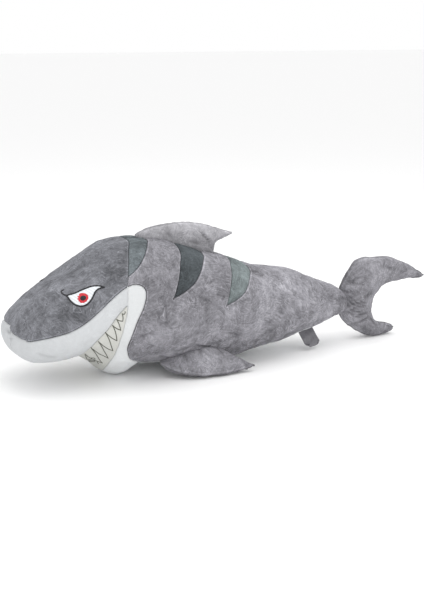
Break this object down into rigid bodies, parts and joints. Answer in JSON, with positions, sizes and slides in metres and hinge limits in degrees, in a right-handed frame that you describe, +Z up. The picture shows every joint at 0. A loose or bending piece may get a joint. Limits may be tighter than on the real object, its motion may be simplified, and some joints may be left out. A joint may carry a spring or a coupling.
{
  "type": "plush shark",
  "caption": "Large stuffed toy shark lying on its belly, sewn from short-pile fabric panels over fibre filling, with soft fins that bend at their seams and an embroidered grin.",
  "frame": {"origin": "centre of the bounding box's bottom face, on the surface the toy lies on", "axes": "+X from the snout towards the tail, +Y towards the right flank, +Z up"},
  "size_m": [1.0348, 0.2978, 0.3102],
  "materials": {
    "plush_head_grey": "crushed short pile",
    "plush_body_grey": "crushed short pile",
    "plush_stripe_mid": "crushed short pile",
    "plush_stripe_dark": "crushed short pile",
    "plush_stripe_light": "crushed short pile",
    "plush_white": "crushed short pile",
    "plush_cream": "short pile",
    "fibre_stuffing": "loose polyester fibre",
    "embroidery_white": "satin stitch",
    "embroidery_red": "satin stitch",
    "embroidery_black": "satin stitch",
    "thread_olive": "twisted thread",
    "plush_fin_grey": "crushed short pile",
    "label_satin": "woven satin ribbon"
  },
  "bodies": {
    "trunk": {"head_panel_left": "plush_head_grey", "head_panel_right": "plush_head_grey", "upper_lip_panel_left": "plush_white", "upper_lip_panel_right": "plush_white", "lower_lip_panel": "plush_white", "tooth_panel": "plush_cream", "tooth_thread_left": "thread_olive", "tooth_thread_right": "thread_olive", "eye_white_left": "embroidery_white", "eye_white_right": "embroidery_white", "eye_iris_left": "embroidery_red", "eye_iris_right": "embroidery_red", "eye_pupil_left": "embroidery_black", "eye_pupil_right": "embroidery_black", "eye_outline_left": "embroidery_black", "eye_outline_right": "embroidery_black", "stripe1_panel_left": "plush_stripe_mid", "stripe1_panel_right": "plush_stripe_mid", "stripe2_panel_left": "plush_stripe_dark", "stripe2_panel_right": "plush_stripe_dark", "stripe3_panel_left": "plush_stripe_light", "stripe3_panel_right": "plush_stripe_light", "body_panel_left": "plush_body_grey", "body_panel_right": "plush_body_grey", "belly_panel": "plush_white", "body_stuffing": "fibre_stuffing"},
    "dorsal_fin": {"dorsal_fin_left": "plush_fin_grey", "dorsal_fin_right": "plush_fin_grey", "dorsal_fin_stuffing": "fibre_stuffing"},
    "pectoral_fin_left": {"pectoral_fin_upper_left": "plush_fin_grey", "pectoral_fin_lower_left": "plush_fin_grey", "pectoral_fin_stuffing_left": "fibre_stuffing"},
    "pectoral_fin_right": {"pectoral_fin_upper_right": "plush_fin_grey", "pectoral_fin_lower_right": "plush_fin_grey", "pectoral_fin_stuffing_right": "fibre_stuffing"},
    "tail_fin": {"tail_fin_left": "plush_fin_grey", "tail_fin_right": "plush_fin_grey", "tail_fin_stuffing": "fibre_stuffing"},
    "label": {"care_label": "label_satin"}
  },
  "joints": [
    {"name": "dorsal_fin_sway", "type": "hinge", "parent": "trunk", "child": "dorsal_fin", "pos_m": [-0.13789, 0, 0.2655], "axis": [0.963, 0, -0.2696], "range_deg": [-25, 25], "stiffness_Nm_per_rad": 0.15},
    {"name": "pectoral_fin_left_flap", "type": "hinge", "parent": "trunk", "child": "pectoral_fin_left", "pos_m": [-0.14444, -0.10984, 0.05196], "axis": [-0.9869, 0.1259, -0.1005], "range_deg": [-5, 15], "stiffness_Nm_per_rad": 0.2},
    {"name": "pectoral_fin_right_flap", "type": "hinge", "parent": "trunk", "child": "pectoral_fin_right", "pos_m": [-0.14444, 0.10984, 0.05196], "axis": [0.9869, 0.1259, 0.1005], "range_deg": [-5, 15], "stiffness_Nm_per_rad": 0.2},
    {"name": "tail_fin_swing", "type": "hinge", "parent": "trunk", "child": "tail_fin", "pos_m": [0.26061, 0, 0.0935], "axis": [0, 0, 1], "range_deg": [-25, 25], "stiffness_Nm_per_rad": 0.6},
    {"name": "label_flip", "type": "hinge", "parent": "trunk", "child": "label", "pos_m": [0.17236, -0.023, 0.0425], "axis": [-0.9835, -0.0525, -0.1731], "range_deg": [-30, 40], "stiffness_Nm_per_rad": 0.004}
  ]
}
